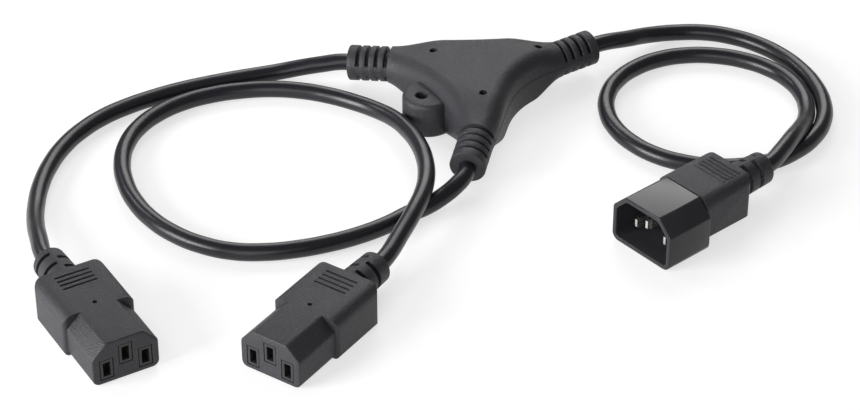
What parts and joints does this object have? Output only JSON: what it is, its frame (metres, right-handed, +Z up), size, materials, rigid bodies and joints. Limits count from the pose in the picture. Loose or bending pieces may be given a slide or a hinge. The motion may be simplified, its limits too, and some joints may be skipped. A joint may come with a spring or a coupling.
{
  "type": "power cord splitter",
  "caption": "Power cord splitter: an inlet plug on a round cord feeds a moulded Y junction with a screw lug, whose other arms carry outlet connectors on cords.",
  "frame": {"origin": "on the floor, under the middle of the Y junction's bounding box", "axes": "+Z up, +X to the viewer's right in the picture, +Y away from the viewer"},
  "size_m": [0.2931, 0.2202, 0.0203],
  "materials": {
    "moulded_pvc": "charcoal black soft plastic with a fine spark-eroded grain",
    "cord_sheath": "satin black sheath",
    "hard_black": "smooth hard black plastic",
    "carrier": "hard dark grey plastic",
    "premould": "natural off-white plastic",
    "plated_brass": "nickel-plated",
    "brass": "plain stamped brass",
    "core_line": "brown insulation",
    "core_neutral": "blue insulation",
    "core_earth": "green insulation with a yellow stripe"
  },
  "bodies": {
    "root": {"junction_body": "moulded_pvc", "junction_splice_block": "premould", "junction_splice_line": "brass", "junction_splice_earth": "brass", "junction_splice_neutral": "brass", "junction_input_core_line": "core_line", "junction_left_core_line": "core_line", "junction_right_core_line": "core_line", "junction_input_core_earth": "core_earth", "junction_left_core_earth": "core_earth", "junction_right_core_earth": "core_earth", "junction_input_core_neutral": "core_neutral", "junction_left_core_neutral": "core_neutral", "junction_right_core_neutral": "core_neutral", "outlet_a_body": "moulded_pvc", "outlet_a_carrier": "carrier", "outlet_a_contact_line": "brass", "outlet_a_contact_earth": "brass", "outlet_a_contact_neutral": "brass", "outlet_a_core_line": "core_line", "outlet_a_core_earth": "core_earth", "outlet_a_core_neutral": "core_neutral", "outlet_b_body": "moulded_pvc", "outlet_b_carrier": "carrier", "outlet_b_contact_line": "brass", "outlet_b_contact_earth": "brass", "outlet_b_contact_neutral": "brass", "outlet_b_core_line": "core_line", "outlet_b_core_earth": "core_earth", "outlet_b_core_neutral": "core_neutral", "inlet_shroud": "hard_black", "inlet_body": "moulded_pvc", "inlet_pin_line": "plated_brass", "inlet_pin_earth": "plated_brass", "inlet_pin_neutral": "plated_brass", "inlet_core_line": "core_line", "inlet_core_earth": "core_earth", "inlet_core_neutral": "core_neutral", "cord_a": "cord_sheath", "cord_b": "cord_sheath", "cord_c": "cord_sheath"}
  },
  "joints": []
}
